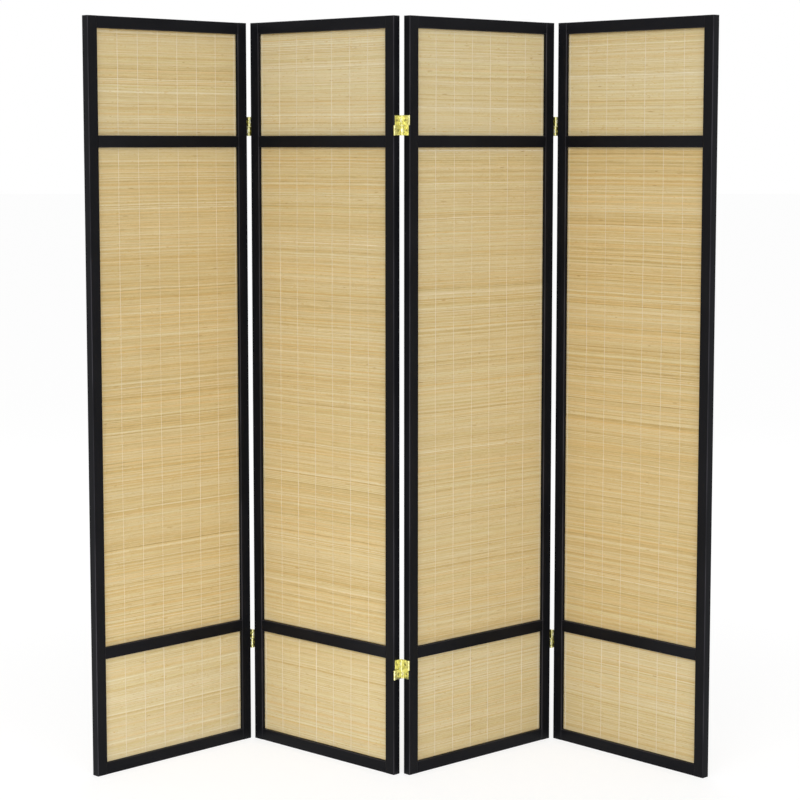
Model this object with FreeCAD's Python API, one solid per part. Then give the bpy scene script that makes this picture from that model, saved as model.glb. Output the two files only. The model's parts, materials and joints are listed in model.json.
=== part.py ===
import FreeCAD, Part
import math
import os

# Folding room divider: four framed panels with bamboo mats, joined by six double-action hinges.
# Units are millimetres. +Z is up and -Y faces the viewer. The origin is the middle of the base.
# Each panel is drawn in its own frame: X along its width from its left edge, Y from its front face
# to its back face, Z up from the floor. Each hinge is drawn about the middle of the gap between
# two panels that stand in one line, and its pieces then follow the panel that carries them.

Vector = FreeCAD.Vector
UP = Vector(0, 0, 1)
LEFT, RIGHT = -1, 1
FRONT, BACK = -1, 1
LOWER, UPPER = -1, 1

# Panel
PANEL_HEIGHT = 1780.0
PANEL_WIDTH = 480.0
PANEL_THICKNESS = 21.0
STILE_WIDTH = 28.0
RAIL_HEIGHT = 28.0
TOP_WINDOW_HEIGHT = 245.0
BOTTOM_WINDOW_HEIGHT = 250.0
STILE_ARRIS_RADIUS = 2.0
RAIL_BEVEL = 1.0

# Joinery of the frame
TENON_THICKNESS = 7.0
TENON_LENGTH = 18.0
TENON_CLEARANCE = 0.1
GROOVE_DEPTH = 6.0

# Mats of matchsticks, tied by warp threads that run from top to bottom
STICK_THICKNESS = 2.0
THREAD_COUNT = 8
THREAD_WIDTH = 1.3
THREAD_RISE = 0.4
THREAD_INSET = 4.5
MAT_TUCK = 5.0
MAT_CLEARANCE = 0.25

# Double-action hinges
PANEL_GAP = 8.6
HINGE_HEIGHT = 46.0
TOP_HINGE_DROP = 250.0
BOTTOM_HINGE_RISE = 254.0
LEAF_THICKNESS = 1.3
LEAF_SETBACK = 3.0
PIN_STANDOFF = 1.75
PIN_RADIUS = 1.1
PIN_CLEARANCE = 0.05
PIN_END_RISE = 0.5
KNUCKLE_GAP = 0.3
KNUCKLE_CLEARANCE = 0.3
ACCESS_HOLE_RADIUS = 3.0

# Countersunk screws of the hinge plates
SCREW_RADIUS = 1.3
SCREW_HEAD_RADIUS = 2.6
SCREW_LENGTH = 14.0
SCREW_TIP_RADIUS = 0.4
SCREW_CLEARANCE = 0.05

# The small round forms of the hinges repeat many times, so they are many-sided prisms
BARREL_SIDES = 9
BORE_SIDES = 6

# A cut runs past the face that it opens by this much
OVERRUN = 1.0

# The stance: the first panel's heading from +X, then how far each seam is folded from flat.
# A seam folds toward the side of its working pin line: front pins make a valley, back pins a ridge.
FIRST_HEADING_DEG = 45.2
SEAM_FOLDS_DEG = (88.15, 85.6, 89.4)
SEAM_PIN_SIDES = (FRONT, BACK, FRONT)
FOLDED_LIMIT_DEG = 179.0

# Worked out from the sizes above
MID_DEPTH = PANEL_THICKNESS / 2
OPENING_WIDTH = PANEL_WIDTH - 2 * STILE_WIDTH
MID_WINDOW_HEIGHT = PANEL_HEIGHT - 4 * RAIL_HEIGHT - TOP_WINDOW_HEIGHT - BOTTOM_WINDOW_HEIGHT
GROOVE_WIDTH = STICK_THICKNESS + 2 * THREAD_RISE + 2 * MAT_CLEARANCE
TENON_HEIGHT = RAIL_HEIGHT - 2 * GROOVE_DEPTH
KNUCKLE_RADIUS = PIN_RADIUS + LEAF_THICKNESS
BORE_RADIUS = (PIN_RADIUS + PIN_CLEARANCE) / math.cos(math.pi / BORE_SIDES)
HALF_HINGE = HINGE_HEIGHT / 2
KNUCKLE_HEIGHT = (HALF_HINGE - KNUCKLE_GAP / 2 - 2 * KNUCKLE_GAP) / 3
HINGE_HEIGHTS = (BOTTOM_HINGE_RISE, PANEL_HEIGHT - TOP_HINGE_DROP)


def block(low, high):
    """A box between two opposite corners."""
    size = high - low
    return Part.makeBox(size.x, size.y, size.z, low)


def edges_along(solid, direction):
    """Every edge of a block that runs along direction."""
    return [edge for edge in solid.Edges if abs(edge.tangentAt(edge.FirstParameter).dot(direction)) > 0.99]


def ring(centre, direction, radius, sides):
    """A regular polygon square to direction, an axis of the frame, with its corners on the radius."""
    across = Vector(direction.y, direction.z, direction.x)
    other = direction.cross(across)
    points = []
    for number in range(sides):
        angle = 2 * math.pi * number / sides
        points.append(centre + across * radius * math.cos(angle) + other * radius * math.sin(angle))
    return Part.makePolygon(points + points[:1])


def prism(centre, direction, radius, length, sides):
    """A many-sided bar that starts at centre and runs along direction."""
    return Part.Face(ring(centre, direction, radius, sides)).extrude(direction * length)


def taper(centre, direction, radii, length, sides):
    """A many-sided bar that narrows from the first radius to the second."""
    ends = [ring(centre, direction, radii[0], sides), ring(centre + direction * length, direction, radii[1], sides)]
    return Part.makeLoft(ends, True, True)


# Frame of a panel

def rail_levels():
    """The lower edge of the bottom, lower, upper and top rail."""
    bottom = 0.0
    lower = bottom + RAIL_HEIGHT + BOTTOM_WINDOW_HEIGHT
    upper = lower + RAIL_HEIGHT + MID_WINDOW_HEIGHT
    top = upper + RAIL_HEIGHT + TOP_WINDOW_HEIGHT
    return bottom, lower, upper, top


def screw_levels():
    """The height of every screw of one stile edge."""
    return [hinge + half * HALF_HINGE / 2 for hinge in HINGE_HEIGHTS for half in (LOWER, UPPER)]


def tenon(level, side, clearance):
    """The tenon of the rail at this level, or the mortise for it when it has a clearance."""
    shoulder = STILE_WIDTH if side == LEFT else PANEL_WIDTH - STILE_WIDTH
    tip = shoulder + side * (TENON_LENGTH + clearance)
    root = shoulder - side * (OVERRUN if clearance else 0.0)
    half_depth = TENON_THICKNESS / 2 + clearance
    foot = level + GROOVE_DEPTH - clearance
    head = level + GROOVE_DEPTH + TENON_HEIGHT + clearance
    low = Vector(min(root, tip), MID_DEPTH - half_depth, foot)
    high = Vector(max(root, tip), MID_DEPTH + half_depth, head)
    return block(low, high)


def stile_groove(side):
    """The groove along a stile's inner edge, stopped inside the top and bottom rails."""
    edge = STILE_WIDTH if side == LEFT else PANEL_WIDTH - STILE_WIDTH
    floor = edge + side * GROOVE_DEPTH
    mouth = edge - side * OVERRUN
    foot = RAIL_HEIGHT - GROOVE_DEPTH
    head = PANEL_HEIGHT - RAIL_HEIGHT + GROOVE_DEPTH
    low = Vector(min(floor, mouth), MID_DEPTH - GROOVE_WIDTH / 2, foot)
    high = Vector(max(floor, mouth), MID_DEPTH + GROOVE_WIDTH / 2, head)
    return block(low, high)


def make_stile(side, has_hinges):
    """A full-height stile with rounded arrises, its groove, its mortises and the screws' pilot holes."""
    start = 0.0 if side == LEFT else PANEL_WIDTH - STILE_WIDTH
    low = Vector(start, 0, 0)
    high = Vector(start + STILE_WIDTH, PANEL_THICKNESS, PANEL_HEIGHT)
    bar = block(low, high)
    bar = bar.makeFillet(STILE_ARRIS_RADIUS, edges_along(bar, UP))
    cuts = [stile_groove(side)]
    cuts += [tenon(level, side, TENON_CLEARANCE) for level in rail_levels()]
    if has_hinges:
        edge = 0.0 if side == LEFT else PANEL_WIDTH
        depth = SCREW_LENGTH - LEAF_THICKNESS + SCREW_CLEARANCE
        for level in screw_levels():
            mouth = Vector(edge + side * OVERRUN, MID_DEPTH, level)
            radius = SCREW_RADIUS + SCREW_CLEARANCE
            cuts.append(prism(mouth, Vector(-side, 0, 0), radius, depth + OVERRUN, BORE_SIDES))
    return bar.cut(cuts)


def make_rail(level, groove_sides):
    """A rail between the stiles, with a tenon at each end and a groove on each side that holds a mat."""
    low = Vector(STILE_WIDTH, 0, level)
    high = Vector(PANEL_WIDTH - STILE_WIDTH, PANEL_THICKNESS, level + RAIL_HEIGHT)
    bar = block(low, high)
    bar = bar.makeChamfer(RAIL_BEVEL, edges_along(bar, Vector(1, 0, 0)))
    grooves = []
    for side in groove_sides:
        edge = level if side == LOWER else level + RAIL_HEIGHT
        floor = edge - side * GROOVE_DEPTH
        mouth = edge + side * OVERRUN
        cut_low = Vector(low.x - OVERRUN, MID_DEPTH - GROOVE_WIDTH / 2, min(floor, mouth))
        cut_high = Vector(high.x + OVERRUN, MID_DEPTH + GROOVE_WIDTH / 2, max(floor, mouth))
        grooves.append(block(cut_low, cut_high))
    bar = bar.cut(grooves)
    return bar.fuse([tenon(level, LEFT, 0.0), tenon(level, RIGHT, 0.0)]).removeSplitter()


# Mats

def thread_places():
    """Where the warp threads run across a panel's width."""
    first = STILE_WIDTH + THREAD_INSET
    pitch = (OPENING_WIDTH - 2 * THREAD_INSET) / (THREAD_COUNT - 1)
    return [first + number * pitch for number in range(THREAD_COUNT)]


def thread_face(place, level):
    """The section of one warp thread round the sticks: a low ridge front and back."""
    core = STICK_THICKNESS / 2
    crown = core + THREAD_RISE
    root = THREAD_WIDTH / 2
    outline = [(-root, -core), (0, -crown), (root, -core), (root, core), (0, crown), (-root, core)]
    points = [Vector(place + x, MID_DEPTH + y, level) for x, y in outline]
    return Part.Face(Part.makePolygon(points + points[:1]))


def make_mat(sill, window_height):
    """A mat tucked into the grooves round one window, with its warp threads standing proud."""
    foot = sill - MAT_TUCK
    height = window_height + 2 * MAT_TUCK
    low = Vector(STILE_WIDTH - MAT_TUCK, MID_DEPTH - STICK_THICKNESS / 2, foot)
    high = Vector(PANEL_WIDTH - STILE_WIDTH + MAT_TUCK, MID_DEPTH + STICK_THICKNESS / 2, foot + height)
    threads = [thread_face(place, foot).extrude(UP * height) for place in thread_places()]
    return block(low, high).fuse(threads).removeSplitter()


# Double-action hinge, drawn about the middle of the gap and the hinge's own mid height.
# Two pin lines run beside the front faces and beside the back faces. The plates carry knuckles on
# opposite lines in each half, and a link in each half joins the two lines, so that the seam
# can fold either way.

def pin_line(side):
    """The depth of the front or back pin line."""
    return MID_DEPTH + side * (MID_DEPTH + PIN_STANDOFF)


def half_span(half):
    """The lowest and highest point of a half of the hinge."""
    ends = (half * KNUCKLE_GAP / 2, half * HALF_HINGE)
    return min(ends), max(ends)


def knuckle_span(half, number):
    """The lowest and highest point of a knuckle, counted from the foot of its half."""
    foot = half_span(half)[0] + number * (KNUCKLE_HEIGHT + KNUCKLE_GAP)
    return foot, foot + KNUCKLE_HEIGHT


def carried_line(plate_side, half):
    """The pin line that a plate's knuckles stand on in one half."""
    return -plate_side * half


def barrel(line_side, span, radius, sides):
    """A bar on a pin line."""
    foot, head = span
    return prism(Vector(0, pin_line(line_side), foot), UP, radius, head - foot, sides)


def neck(plate_side, line_side, span):
    """The part of a leaf that leaves the stile's edge and runs into its knuckles as a tangent."""
    foot, head = span
    pin = Vector(0, pin_line(line_side), foot)
    start = MID_DEPTH + line_side * (MID_DEPTH - LEAF_SETBACK)
    outer = Vector(plate_side * PANEL_GAP / 2, start, foot)
    inner = Vector(plate_side * (PANEL_GAP / 2 - LEAF_THICKNESS), start, foot)
    reach = outer - pin
    swing = plate_side * line_side * math.acos(KNUCKLE_RADIUS / reach.Length)
    angle = math.atan2(reach.y, reach.x) + swing
    ray = Vector(math.cos(angle), math.sin(angle), 0)
    points = [outer, pin + ray * KNUCKLE_RADIUS, pin + ray * PIN_RADIUS, inner]
    return Part.Face(Part.makePolygon(points + points[:1])).extrude(UP * (head - foot))


def screw_cut(side, half):
    """The countersunk hole of a plate for one screw."""
    mouth = Vector(side * (PANEL_GAP / 2 - LEAF_THICKNESS), MID_DEPTH, half * HALF_HINGE / 2)
    out = Vector(side, 0, 0)
    wide = SCREW_HEAD_RADIUS + SCREW_CLEARANCE
    narrow = SCREW_RADIUS + SCREW_CLEARANCE
    sink = taper(mouth, out, (wide, narrow), wide - narrow, BORE_SIDES)
    hole = prism(mouth, out, narrow, LEAF_THICKNESS + OVERRUN, BORE_SIDES)
    return sink.fuse(hole)


def make_plate(side):
    """The plate on one panel's edge: a leaf with two knuckles in each half and two countersunk holes."""
    faces = (side * PANEL_GAP / 2, side * (PANEL_GAP / 2 - LEAF_THICKNESS))
    low = Vector(min(faces), LEAF_SETBACK, -HALF_HINGE)
    high = Vector(max(faces), PANEL_THICKNESS - LEAF_SETBACK, HALF_HINGE)
    leaf = block(low, high)
    added = []
    cuts = []
    for half in (LOWER, UPPER):
        line = carried_line(side, half)
        first, last = knuckle_span(half, 0), knuckle_span(half, 2)
        added.append(neck(side, line, (first[0], last[1])))
        for span in (first, last):
            added.append(barrel(line, span, KNUCKLE_RADIUS, BARREL_SIDES))
            cuts.append(barrel(line, span, BORE_RADIUS, BORE_SIDES))
        # The notch that the link's eye turns in
        cuts.append(barrel(line, (first[1], last[0]), KNUCKLE_RADIUS + KNUCKLE_CLEARANCE, BARREL_SIDES))
        cuts.append(screw_cut(side, half))
    return leaf.fuse(added).cut(cuts).removeSplitter()


def make_link(half):
    """The link of one half: a strap between the pin lines, cut back beside the plates' knuckles."""
    foot, head = half_span(half)
    side_face = LEAF_THICKNESS / 2
    reach = KNUCKLE_RADIUS + KNUCKLE_CLEARANCE
    low = Vector(-side_face, pin_line(FRONT) + reach, foot)
    high = Vector(side_face, pin_line(BACK) - reach, head)
    strap = block(low, high)
    span = knuckle_span(half, 1)
    tongue = block(Vector(-side_face, pin_line(FRONT), span[0]), Vector(side_face, pin_line(BACK), span[1]))
    eyes = [barrel(line, span, KNUCKLE_RADIUS, BARREL_SIDES) for line in (FRONT, BACK)]
    bores = [barrel(line, span, BORE_RADIUS, BORE_SIDES) for line in (FRONT, BACK)]
    mouth = Vector(-side_face - OVERRUN, MID_DEPTH, half * HALF_HINGE / 2)
    access = prism(mouth, Vector(1, 0, 0), ACCESS_HOLE_RADIUS, LEAF_THICKNESS + 2 * OVERRUN, BORE_SIDES)
    return strap.fuse([tongue] + eyes).cut(bores + [access]).removeSplitter()


def make_pin(line_side, half):
    """A pin through the three knuckles of one line in one half, with its outer end standing proud."""
    foot, head = half_span(half)
    span = (foot, head + PIN_END_RISE) if half == UPPER else (foot - PIN_END_RISE, head)
    return barrel(line_side, span, PIN_RADIUS, BORE_SIDES)


def make_screw(side, half):
    """A countersunk wood screw with a tapered shank, its head flush with the plate."""
    out = Vector(side, 0, 0)
    mouth = Vector(side * (PANEL_GAP / 2 - LEAF_THICKNESS), MID_DEPTH, half * HALF_HINGE / 2)
    head_depth = SCREW_HEAD_RADIUS - SCREW_RADIUS
    head = taper(mouth, out, (SCREW_HEAD_RADIUS, SCREW_RADIUS), head_depth, BORE_SIDES)
    root = mouth + out * head_depth
    shank = taper(root, out, (SCREW_RADIUS, SCREW_TIP_RADIUS), SCREW_LENGTH - head_depth, BORE_SIDES)
    return head.fuse(shank)


def on_both_hinges(solids):
    """The same solids at the bottom hinge and at the top hinge of a seam."""
    copies = []
    for level in HINGE_HEIGHTS:
        for solid in solids:
            copies.append(solid.translated(UP * level))
    return copies


# Placing the pieces

def panel_nodes(number, count):
    """Every piece of one panel, in the panel's own frame."""
    bottom, lower, upper, top = rail_levels()
    pieces = {
        "left_stile": make_stile(LEFT, number > 1),
        "right_stile": make_stile(RIGHT, number < count),
        "bottom_rail": make_rail(bottom, [UPPER]),
        "lower_rail": make_rail(lower, [LOWER, UPPER]),
        "upper_rail": make_rail(upper, [LOWER, UPPER]),
        "top_rail": make_rail(top, [LOWER]),
        "bottom_mat": make_mat(bottom + RAIL_HEIGHT, BOTTOM_WINDOW_HEIGHT),
        "middle_mat": make_mat(lower + RAIL_HEIGHT, MID_WINDOW_HEIGHT),
        "top_mat": make_mat(upper + RAIL_HEIGHT, TOP_WINDOW_HEIGHT),
    }
    return {f"panel_{number}_{name}": [solid] for name, solid in pieces.items()}


def hinge_pins(plate_side):
    """The pins that stand in one plate's knuckles."""
    return [make_pin(carried_line(plate_side, half), half) for half in (LOWER, UPPER)]


def seam_nodes(number, pin_side):
    """The hinge pieces of a seam that ride with its left panel, and those that ride with its right one."""
    # The link whose end the right plate carries on the working line rides with the left panel.
    left_half = UPPER if carried_line(RIGHT, UPPER) == pin_side else LOWER
    link_names = {UPPER: "upper_links", LOWER: "lower_links"}
    sides = {}
    for side, name, link_half in ((LEFT, "left", left_half), (RIGHT, "right", -left_half)):
        screws = [make_screw(side, half) for half in (LOWER, UPPER)]
        sides[side] = {
            f"seam_{number}_{name}_plates": on_both_hinges([make_plate(side)]),
            f"seam_{number}_{link_names[link_half]}": on_both_hinges([make_link(link_half)]),
            f"seam_{number}_{name}_pins": on_both_hinges(hinge_pins(side)),
            f"seam_{number}_{name}_screws": on_both_hinges(screws),
        }
    return sides[LEFT], sides[RIGHT]


def chain():
    """Each panel's placement and each seam's working pin line, from the first panel's left edge."""
    placements = [FreeCAD.Placement(Vector(0, 0, 0), FreeCAD.Rotation(UP, FIRST_HEADING_DEG))]
    pins = []
    heading = FIRST_HEADING_DEG
    for fold, side in zip(SEAM_FOLDS_DEG, SEAM_PIN_SIDES):
        line = pin_line(side)
        pin = placements[-1].multVec(Vector(PANEL_WIDTH + PANEL_GAP / 2, line, 0))
        heading += side * fold
        turn = FreeCAD.Rotation(UP, heading)
        corner = pin - turn.multVec(Vector(-PANEL_GAP / 2, line, 0))
        placements.append(FreeCAD.Placement(corner, turn))
        pins.append(pin)
    return placements, pins


def placed(shapes, placement, shift_x):
    """The shapes' solids, moved along their panel's width and then set at the panel's place."""
    moved = [solid.translated(Vector(shift_x, 0, 0)) for shape in shapes for solid in shape.Solids]
    for solid in moved:
        solid.Placement = placement.multiply(solid.Placement)
    return moved


def build_nodes():
    """All nodes of the divider, with the middle of its base at the origin, and its pin lines."""
    placements, pins = chain()
    count = len(placements)
    nodes = {}
    for number, placement in enumerate(placements, start=1):
        for name, solids in panel_nodes(number, count).items():
            nodes[name] = placed(solids, placement, 0.0)
    for number, side in enumerate(SEAM_PIN_SIDES, start=1):
        left, right = seam_nodes(number, side)
        for name, solids in left.items():
            nodes[name] = placed(solids, placements[number - 1], PANEL_WIDTH + PANEL_GAP / 2)
        for name, solids in right.items():
            nodes[name] = placed(solids, placements[number], -PANEL_GAP / 2)
    whole = FreeCAD.BoundBox()
    for solids in nodes.values():
        for solid in solids:
            whole.add(solid.optimalBoundingBox(False, False))
    shift = Vector(-whole.Center.x, -whole.Center.y, -whole.ZMin)
    for name, solids in nodes.items():
        nodes[name] = [solid.translated(shift) for solid in solids]
    return nodes, [pin + shift for pin in pins], whole


def print_joints(pins):
    """Each seam's working pin line and its travel from the stance: to flat, and to fully folded."""
    for number, (pin, fold, side) in enumerate(zip(pins, SEAM_FOLDS_DEG, SEAM_PIN_SIDES), start=1):
        to_flat = -side * fold
        to_folded = side * (FOLDED_LIMIT_DEG - fold)
        print(f"seam {number}: pin line {pin.x:.3f} {pin.y:.3f}, right panel turns {to_flat:.2f} to flat, "
              f"{to_folded:.2f} to folded")


def main():
    """Build every node and write it to parts."""
    os.makedirs("parts", exist_ok=True)
    nodes, pins, whole = build_nodes()
    for name, solids in nodes.items():
        shape = solids[0] if len(solids) == 1 else Part.makeCompound(solids)
        shape.exportStep(f"parts/{name}.step")
    print_joints(pins)
    print(f"{len(nodes)} nodes, box {whole.XLength:.2f} {whole.YLength:.2f} {whole.ZLength:.2f}")


main()
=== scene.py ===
import json
import logging
import math
from dataclasses import dataclass, field, replace
from enum import Enum

import bpy
import numpy as np
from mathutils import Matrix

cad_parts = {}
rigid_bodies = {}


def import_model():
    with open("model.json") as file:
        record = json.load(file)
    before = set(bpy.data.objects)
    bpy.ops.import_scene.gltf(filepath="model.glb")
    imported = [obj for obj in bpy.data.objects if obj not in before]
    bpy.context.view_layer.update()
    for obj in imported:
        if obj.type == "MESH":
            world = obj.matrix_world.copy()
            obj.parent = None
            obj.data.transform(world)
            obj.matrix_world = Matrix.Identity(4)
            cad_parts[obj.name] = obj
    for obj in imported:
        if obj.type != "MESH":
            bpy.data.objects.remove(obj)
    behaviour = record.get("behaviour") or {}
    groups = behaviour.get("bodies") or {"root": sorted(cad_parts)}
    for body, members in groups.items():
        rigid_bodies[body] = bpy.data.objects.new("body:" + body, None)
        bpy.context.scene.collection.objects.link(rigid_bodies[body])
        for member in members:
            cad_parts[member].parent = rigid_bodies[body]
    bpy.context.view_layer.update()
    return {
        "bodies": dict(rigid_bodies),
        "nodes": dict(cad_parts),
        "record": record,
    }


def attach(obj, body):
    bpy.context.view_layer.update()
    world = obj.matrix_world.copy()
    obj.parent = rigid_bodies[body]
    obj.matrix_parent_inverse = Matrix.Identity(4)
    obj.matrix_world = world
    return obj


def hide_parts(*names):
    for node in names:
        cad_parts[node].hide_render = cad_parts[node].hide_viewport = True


# Looks of a folding room divider: lacquered frames, matchstick mats with warp threads, double-action
# brass hinges, and the pale studio that it stands in. Lengths are in metres, colours are linear.
# A panel's own frame runs across its width from the left, back from its front face, and up.

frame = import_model()

log = logging.getLogger("divider")
RANDOM_SEED = 41
QUARTER_TURN = math.pi / 2
FULL_TURN = 2 * math.pi

Colour = tuple[float, float, float]
Triple = tuple[float, float, float]
Span = tuple[float, float]
Socket = bpy.types.NodeSocket

# A noise's middle, and what most of it lies between
MIDDLE_OF_NOISE = 0.5
MOST_OF_NOISE: Span = (0.3, 0.7)


class Side(Enum):
    """The left or the right of a panel or of a seam."""

    LEFT = -1
    RIGHT = 1


class Half(Enum):
    """The lower or the upper half of a hinge."""

    LOWER = -1
    UPPER = 1


@dataclass(frozen=True)
class Opening:
    """A window: its mat, its rails, how pale each panel's sticks are there, and how full its threads."""

    mat: str
    rail_below: str
    rail_above: str
    paleness: tuple[float, float, float, float]
    fullness: float


class Window(Enum):
    """The windows of every panel, from the floor up."""

    BOTTOM = Opening("bottom_mat", "bottom_rail", "lower_rail", (1.2, 0.7, 0.8, 0.6), 2.1)
    MIDDLE = Opening("middle_mat", "lower_rail", "upper_rail", (-0.6, -0.3, 0.0, -0.8), 1.0)
    TOP = Opening("top_mat", "upper_rail", "top_rail", (0.4, 1.0, 0.9, 0.8), 1.45)


class Slot(Enum):
    """The record's material slots."""

    LACQUER = "frame_lacquer"
    BAMBOO = "bamboo_mat"
    HINGE = "hinge_brass"
    SCREW = "screw_brass"


# Surfaces

def grid_quads(grid: np.ndarray, wrap_rows: bool = False, wrap_columns: bool = False) -> np.ndarray:
    """Four-cornered faces between neighbouring points of a grid.

    Args:
        grid: point numbers in rows and columns.
        wrap_rows: whether the last row joins the first.
        wrap_columns: whether the last column joins the first.

    Returns:
        One row of four point numbers per face.
    """
    if wrap_rows:
        grid = np.vstack([grid, grid[:1]])
    if wrap_columns:
        grid = np.hstack([grid, grid[:, :1]])
    corners = [grid[:-1, :-1], grid[:-1, 1:], grid[1:, 1:], grid[1:, :-1]]
    return np.stack(corners, axis=-1).reshape(-1, 4)


@dataclass
class Surface:
    """A closed surface: its points, its faces by number of corners, and values kept per point or face."""

    points: np.ndarray
    faces: list[np.ndarray]
    point_values: dict[str, np.ndarray] = field(default_factory=dict)
    face_values: dict[str, np.ndarray] = field(default_factory=dict)

    def outward(self) -> "Surface":
        """Turns the faces outwards, where the volume that they hold comes out below zero.

        The volume is the sum, over the triangles of each face's fan, of the first corner times the
        cross product of the other two.

        Returns:
            This surface.
        """
        volume = 0.0
        for group in self.faces:
            corners = self.points[group]
            for step in range(1, group.shape[1] - 1):
                crossed = np.cross(corners[:, step], corners[:, step + 1])
                volume += np.einsum("ij,ij->", corners[:, 0], crossed)
        if volume < 0:
            self.faces = [group[:, ::-1] for group in self.faces]
        return self

    @staticmethod
    def joined(parts: list["Surface"]) -> "Surface":
        """Several surfaces as one, each still closed by itself.

        Args:
            parts: surfaces that keep the same values per point and have no values per face.

        Returns:
            The joined surface.
        """
        starts = np.cumsum([0] + [len(part.points) for part in parts[:-1]])
        faces = [group + start for part, start in zip(parts, starts) for group in part.faces]
        names = parts[0].point_values
        values = {name: np.concatenate([part.point_values[name] for part in parts]) for name in names}
        return Surface(np.concatenate([part.points for part in parts]), faces, values)


def ringed(rings: np.ndarray, closed: bool = False) -> Surface:
    """A surface through rings of points: point (i, j) is the j-th point round the i-th ring.

    Args:
        rings: an array of rings, points per ring, and three coordinates.
        closed: whether the last ring joins the first. Otherwise each end has one flat cap.

    Returns:
        The closed surface.
    """
    count, around = rings.shape[:2]
    grid = np.arange(count * around).reshape(count, around)
    faces = [grid_quads(grid, wrap_rows=closed, wrap_columns=True)]
    if not closed:
        faces.append(np.stack([grid[0, ::-1], grid[-1]]))
    return Surface(rings.reshape(-1, 3), faces).outward()


def circles(profile: np.ndarray, around: int) -> np.ndarray:
    """Rings round the third axis: each radius times the cosine and the sine of the angle, at its height.

    Args:
        profile: radius and height of each ring.
        around: the number of points round each ring.

    Returns:
        The rings, points per ring, and three coordinates.
    """
    angles = np.linspace(0, FULL_TURN, around, endpoint=False)
    radius, height = profile[:, :1], profile[:, 1:]
    across, deep = radius * np.cos(angles), radius * np.sin(angles)
    return np.stack([across, deep, np.broadcast_to(height, across.shape)], axis=-1)


def ribbon(path: np.ndarray, thickness: float, foot: float, head: float, ease: float) -> Surface:
    """A strip of sheet that stands on edge and follows a flat path, with eased long edges.

    Each ring is the path's point plus its normal times an offset of half the thickness either way.

    Args:
        path: the centre line's points, two coordinates each.
        thickness: the sheet's thickness.
        foot: the height of the strip's lower edge.
        head: the height of its upper edge.
        ease: how much the edges are rounded.

    Returns:
        The closed surface.
    """
    run = np.gradient(path, axis=0)
    normal = np.stack([run[:, 1], -run[:, 0]], axis=1) / np.linalg.norm(run, axis=1)[:, None]
    half = thickness / 2
    offsets = np.array([half, half, half - ease, ease - half, -half, -half, ease - half, half - ease])
    heights = np.array([foot + ease, head - ease, head, head, head - ease, foot + ease, foot, foot])
    flat = path[:, None, :] + normal[:, None, :] * offsets[None, :, None]
    levels = np.broadcast_to(heights[None, :, None], flat.shape[:2] + (1,))
    return ringed(np.concatenate([flat, levels], axis=2))


def holed_plate(low: np.ndarray, high: np.ndarray, centre: np.ndarray, radius: float, thickness: float,
                ease: float, plain_edge: float | None = None) -> Surface:
    """A flat rectangular plate with one round hole, as rings from the hole's rim to the outline and back.

    A point of the rim lies on the line from the hole's centre to its point of the outline.

    Args:
        low: the plate's lowest corner in its plane.
        high: its highest corner in its plane.
        centre: the hole's centre.
        radius: the hole's radius.
        thickness: the plate's thickness, half of it each side of the plane.
        ease: how much the edges are rounded.
        plain_edge: the height of an edge that isn't rounded, because another plate goes on from it.

    Returns:
        The closed surface, in the plane's two coordinates and then the thickness.
    """
    points_per_side = 10
    shares = np.linspace(0, 1, points_per_side, endpoint=False)[:, None]
    corners = np.array([low, [high[0], low[1]], high, [low[0], high[1]]])
    followers = np.roll(corners, -1, axis=0)
    outline = np.concatenate([start + (end - start) * shares for start, end in zip(corners, followers)])
    inner_low, inner_high = low + ease, high - ease
    if plain_edge is not None:
        inner_low[1] = low[1] if plain_edge == low[1] else inner_low[1]
        inner_high[1] = high[1] if plain_edge == high[1] else inner_high[1]
    eased = np.clip(outline, inner_low, inner_high)
    ray = outline - centre
    ray = ray / np.linalg.norm(ray, axis=1)[:, None]
    rim, eased_rim = centre + ray * radius, centre + ray * (radius + ease)
    half = thickness / 2
    rows = [(rim, ease - half), (rim, half - ease), (eased_rim, half), (eased, half),
            (outline, half - ease), (outline, ease - half), (eased, -half), (eased_rim, -half)]
    rings = [np.column_stack([flat, np.full(len(flat), level)]) for flat, level in rows]
    return ringed(np.stack(rings), closed=True)


def make_piece(name: str, surface: Surface, material: bpy.types.Material, body: str,
               node: str, sharp_degrees: float) -> None:
    """Makes a mesh object from a surface, smooth but for its sharp edges, that rides on a body.

    Args:
        name: the piece's name.
        surface: its shape, in the object's frame.
        material: its finish.
        body: the body that carries it.
        node: the node that it stands for, or an empty text where it only comes with one.
        sharp_degrees: the angle between faces from which an edge shows.
    """
    mesh = bpy.data.meshes.new(name)
    faces = [face for group in surface.faces for face in group.tolist()]
    mesh.from_pydata(surface.points.tolist(), [], faces)
    mesh.polygons.foreach_set("use_smooth", np.ones(len(faces), dtype=bool))
    for domain, values in (("POINT", surface.point_values), ("FACE", surface.face_values)):
        for key, value in values.items():
            attribute = mesh.attributes.new(key, "FLOAT_VECTOR", domain)
            attribute.data.foreach_set("vector", np.ascontiguousarray(value, dtype=np.float32).ravel())
    mesh.set_sharp_from_angle(angle=math.radians(sharp_degrees))
    mesh.update()
    mesh.materials.append(material)
    piece = bpy.data.objects.new(name, mesh)
    bpy.context.scene.collection.objects.link(piece)
    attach(piece, body)
    if node:
        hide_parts(node)
    log.info("%s: %d points, %d faces, on %s", name, len(surface.points), len(faces), body)


# Finishes

@dataclass(frozen=True)
class Tint:
    """A colour laid over another: none of it at the start of a value's span, the most at the end."""

    colour: Colour
    span: Span
    most: float = 1.0


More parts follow.
